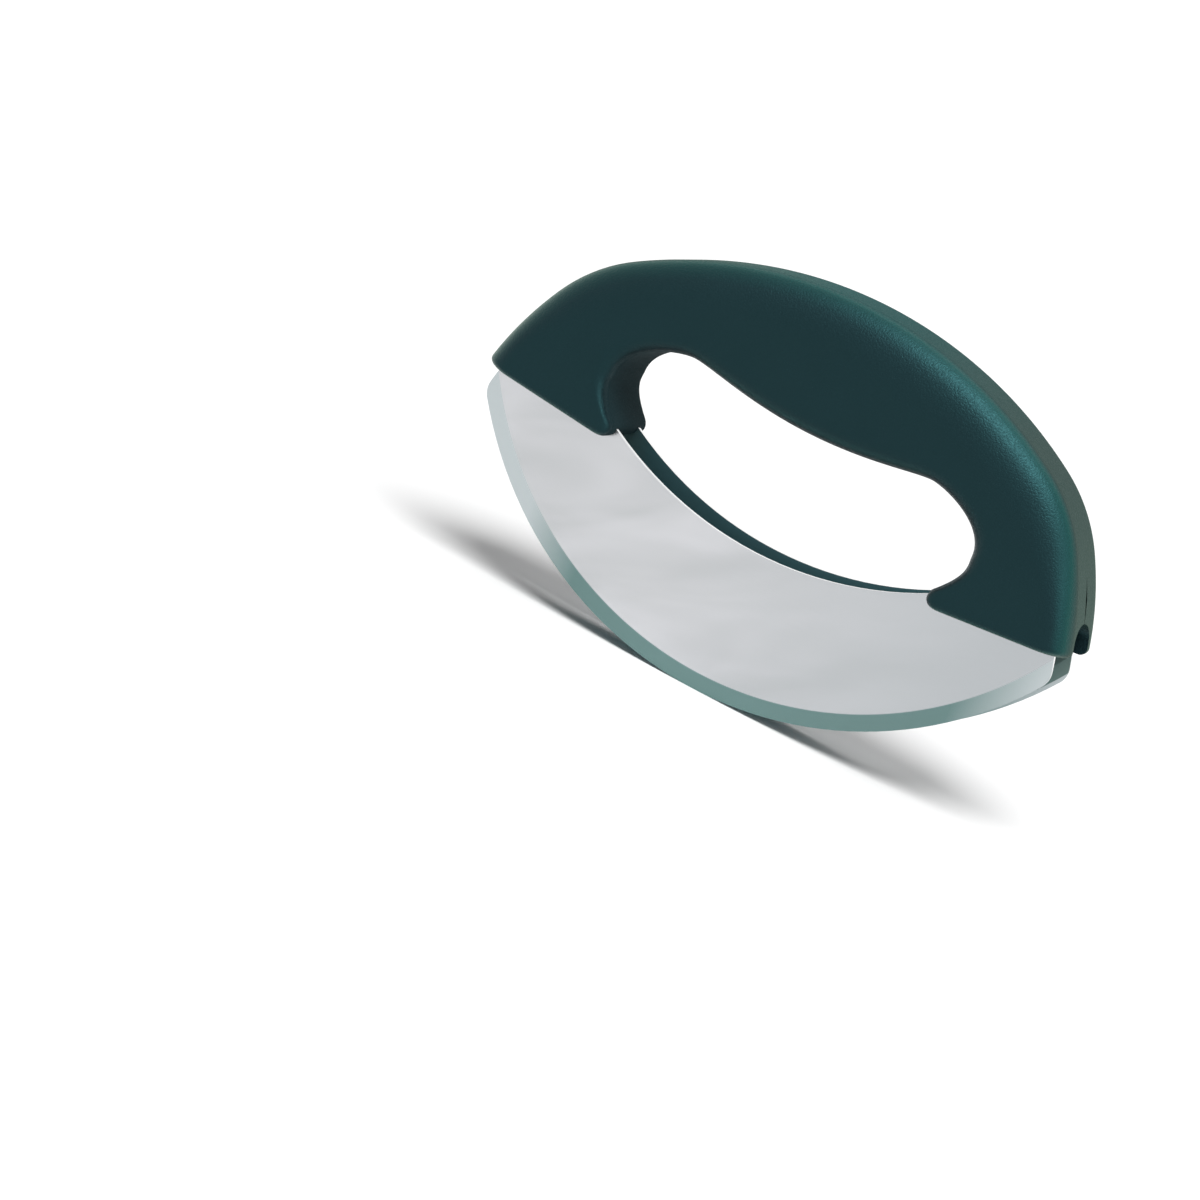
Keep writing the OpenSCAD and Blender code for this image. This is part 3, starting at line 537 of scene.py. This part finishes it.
def makeLoft(name, side, stations, inset, overrun):
    # Runs the tree, and closes the loft along the seam and at the legs' ends
    loft = bpy.data.objects.new(name, stations)
    bpy.context.collection.objects.link(loft)
    modifier = loft.modifiers.new("sections", "NODES")
    modifier.node_group = sectionTree
    sizes = {"Half Depth": (cadBox[1][1] - cadBox[0][1]) / 2,
             "Rounding Depth": handle["roundDepth"] * mm, "Inner Rounding": handle["roundIn"] * mm,
             "Toe Rounding": handle["roundToe"] * mm, "Inset": inset * mm, "Overrun": overrun * mm, "Side": side,
             "Columns": handle["columns"], "Material": handleMaterial}
    for item in sectionTree.interface.items_tree:
        if item.in_out == "INPUT" and item.name in sizes:
            modifier[item.identifier] = sizes[item.name]
    evaluated = loft.evaluated_get(bpy.context.evaluated_depsgraph_get())
    mesh = bpy.data.meshes.new_from_object(evaluated)
    bpy.data.objects.remove(loft)
    form = bmesh.new()
    form.from_mesh(mesh)
    form.verts.ensure_lookup_table()
    columns = handle["columns"]
    rows = len(form.verts) // columns
    for row in range(rows - 1):
        first = row * columns
        form.faces.new([form.verts[i] for i in (first, first + columns, first + 2 * columns - 1, first + columns - 1)])
    for first in (0, (rows - 1) * columns):
        form.faces.new([form.verts[first + i] for i in range(columns)])
    bmesh.ops.recalc_face_normals(form, faces=form.faces)
    form.to_mesh(mesh)
    form.free()
    return mesh


# What is cut out of the shells: the blades' slots and the arched notches at the ends, in millimetres
cuts = {
    "bladeGap": 16.2, "bladeThickness": 1.5, "slotFit": 0.15, "backHeight": 41.6, "backRadius": 105.6,
    "bladeHalf": 88.0, "endLean": 14.9, "tangRise": 18.0, "slotStart": 44.0,
    "notchX": 84.5, "notchSide": 0.95, "notchSpring": 4.7, "notchRise": 9.9, "notchWall": 2.4,
    "seamLength": 12.0, "seamWidth": 1.1,
    "past": 1.0, "arcSteps": 24,
}


def prism(points, low, high, toPlace):
    # Closed prism over an outline; toPlace turns (u, v, height) into a point in millimetres
    form = bmesh.new()
    ends = [[form.verts.new(Vector(toPlace(u, v, height)) * mm) for u, v in points] for height in (low, high)]
    form.faces.new(ends[0])
    form.faces.new(ends[1])
    for i in range(len(points)):
        j = (i + 1) % len(points)
        form.faces.new((ends[0][i], ends[0][j], ends[1][j], ends[1][i]))
    bmesh.ops.recalc_face_normals(form, faces=form.faces)
    mesh = bpy.data.meshes.new("cutter")
    form.to_mesh(mesh)
    form.free()
    return mesh


def slotOutline():
    backCentre = cuts["backHeight"] + cuts["backRadius"]
    radius = cuts["backRadius"] - cuts["slotFit"]
    endX = cuts["bladeHalf"]
    endZ = legBottom(endX)
    lean = math.tan(math.radians(cuts["endLean"]))
    gap = cuts["slotFit"] / math.cos(math.radians(cuts["endLean"]))
    topZ = endZ + cuts["tangRise"] + cuts["slotFit"]
    topX = math.sqrt(radius ** 2 - (backCentre - topZ) ** 2)
    steps = cuts["arcSteps"]
    arc = [between(cuts["slotStart"], topX, i / steps) for i in range(steps + 1)]
    points = [(x, backCentre - math.sqrt(radius ** 2 - x * x)) for x in arc]
    lowZ = legBottom(0) - cuts["past"]
    points.append((endX + gap - (topZ - endZ) * lean, topZ))
    points.append((endX + gap + (endZ - lowZ) * lean, lowZ))
    points.append((cuts["slotStart"], lowZ))
    return points


def notchOutlines():
    # Elliptical arch and, above it, the seam's slender gap, both as (y, z)
    foot = legBottom(cuts["notchX"])
    half = cuts["bladeGap"] / 2 - cuts["slotFit"] - cuts["notchSide"]
    crown = cuts["notchRise"] - cuts["notchSpring"]
    turns = [math.pi * i / cuts["arcSteps"] for i in range(cuts["arcSteps"] + 1)]
    arch = [(half * math.cos(turn), foot + cuts["notchSpring"] + crown * math.sin(turn)) for turn in turns]
    arch += [(-half, foot - cuts["past"]), (half, foot - cuts["past"])]
    apex = foot + cuts["notchRise"]
    middle = apex + cuts["seamLength"] / 2
    wide = cuts["seamWidth"] / 2
    seam = [(0, apex - cuts["seamWidth"]), (wide, middle), (0, apex + cuts["seamLength"]), (-wide, middle)]
    return arch, seam


def cut(piece, cutterMesh, operation="DIFFERENCE"):
    cutter = bpy.data.objects.new("cutter", cutterMesh)
    bpy.context.collection.objects.link(cutter)
    modifier = piece.modifiers.new("cut", "BOOLEAN")
    modifier.operation = operation
    modifier.solver = "EXACT"
    modifier.object = cutter
    evaluated = piece.evaluated_get(bpy.context.evaluated_depsgraph_get())
    result = bpy.data.meshes.new_from_object(evaluated)
    piece.modifiers.remove(modifier)
    piece.data = result
    bpy.data.objects.remove(cutter)


shellSkin = {"sharpDegrees": 38, "mergeMm": 0.001}


def makeShell(pieceName, nodeName, side):
    shares = stationShares()
    mesh = makeLoft(pieceName, side, makeStations(shares), 0.0, 0.0)
    piece = bpy.data.objects.new(pieceName, mesh)
    bpy.context.collection.objects.link(piece)
    bend = innerShares[1]
    flank = outerShares[2]
    hollow = [share if share < bend else between(bend, flank, partOf(share, bend, 1)) for share in shares[::3]]
    limit = cuts["notchX"] - cuts["notchWall"] + handle["wall"]
    cut(piece, makeLoft("hollow", side, makeStations(hollow, limit), handle["wall"], 0.5))
    half = (cuts["bladeThickness"] + 2 * cuts["slotFit"]) / 2
    middle = side * (cuts["bladeGap"] + cuts["bladeThickness"]) / 2
    for hand in (-1, 1):
        cut(piece, prism(slotOutline(), middle - half, middle + half, lambda u, v, h: (hand * u, h, v)))
        for outline in notchOutlines():
            cut(piece, prism(outline, cuts["notchX"], cuts["notchX"] + 10, lambda u, v, h: (hand * h, u, v)))
    form = bmesh.new()
    form.from_mesh(piece.data)
    bmesh.ops.remove_doubles(form, verts=form.verts, dist=shellSkin["mergeMm"] * mm)
    sharpAngle = math.radians(shellSkin["sharpDegrees"])
    for face in form.faces:
        face.smooth = True
    for edge in form.edges:
        edge.smooth = len(edge.link_faces) == 2 and edge.calc_face_angle(0) < sharpAngle
    form.to_mesh(piece.data)
    form.free()
    # The cut faces belong to the same moulding
    piece.data.materials.clear()
    piece.data.materials.append(handleMaterial)
    for polygon in piece.data.polygons:
        polygon.material_index = 0
    piece.data.name = pieceName
    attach(piece, "root")
    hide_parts(nodeName)
    print(pieceName, "made,", len(piece.data.polygons), "faces")
    return piece


makeShell("front_shell_skin", "front_handle_shell", -1)
makeShell("rear_shell_skin", "rear_handle_shell", 1)

# Floor, lamps and camera
floorSetup = {"size": 60.0}
floorMesh = bpy.data.meshes.new("floor")
half = floorSetup["size"] / 2
floorMesh.from_pydata([(-half, -half, 0), (half, -half, 0), (half, half, 0), (-half, half, 0)], [], [(0, 1, 2, 3)])
floorMesh.materials.append(makeFloorPaper())
floor = bpy.data.objects.new("floor", floorMesh)
bpy.context.collection.objects.link(floor)

# Broad soft lamps far away, so that the floor is lit evenly: the key comes from the top right
lampSetup = [
    {"name": "keyLamp", "comesFrom": (0.18, -0.46, 0.87), "power": 2.9, "spread": 36.0},
    {"name": "sideLamp", "comesFrom": (0.77, -0.42, 0.47), "power": 0.7, "spread": 36.0},
    {"name": "topLamp", "comesFrom": (0.1, 0.37, 0.9), "power": 0.5, "spread": 50.0},
]
for setup in lampSetup:
    lampData = bpy.data.lights.new(setup["name"], "SUN")
    lampData.energy = setup["power"]
    lampData.angle = math.radians(setup["spread"])
    lamp = bpy.data.objects.new(setup["name"], lampData)
    bpy.context.collection.objects.link(lamp)
    lamp.rotation_euler = (-Vector(setup["comesFrom"])).to_track_quat("-Z", "Y").to_euler()

# The studio's white walls: plain white where the camera or a reflection sees them, softer as light
studio = {"light": 0.2, "seen": 1.0}
world = bpy.data.worlds.new("studio")
bpy.context.scene.world = world
world.use_nodes = True
seenRays = addSeenRays(world.node_tree)
strength = addNode(world.node_tree, "ShaderNodeMapRange", {"Value": seenRays.outputs[0]},
                   {"To Min": studio["light"], "To Max": studio["seen"]})
background = world.node_tree.nodes["Background"]
background.inputs["Color"].default_value = (1, 1, 1, 1)
world.node_tree.links.new(strength.outputs["Result"], background.inputs["Strength"])
bpy.context.scene.view_settings.view_transform = "Standard"

cameraData = bpy.data.cameras.new("photoCamera")
cameraData.lens = cameraSetup["lens"]
cameraData.sensor_width = cameraSetup["sensor"]
cameraData.clip_end = 100
camera = bpy.data.objects.new("photoCamera", cameraData)
bpy.context.collection.objects.link(camera)
camera.location = cameraSetup["place"]
look = Vector(cameraSetup["look"]).to_track_quat("-Z", "Y")
camera.rotation_mode = "QUATERNION"
camera.rotation_quaternion = look @ Quaternion((0, 0, 1), math.radians(cameraSetup["roll"]))
bpy.context.scene.camera = camera
print("floor, lamps and camera made")
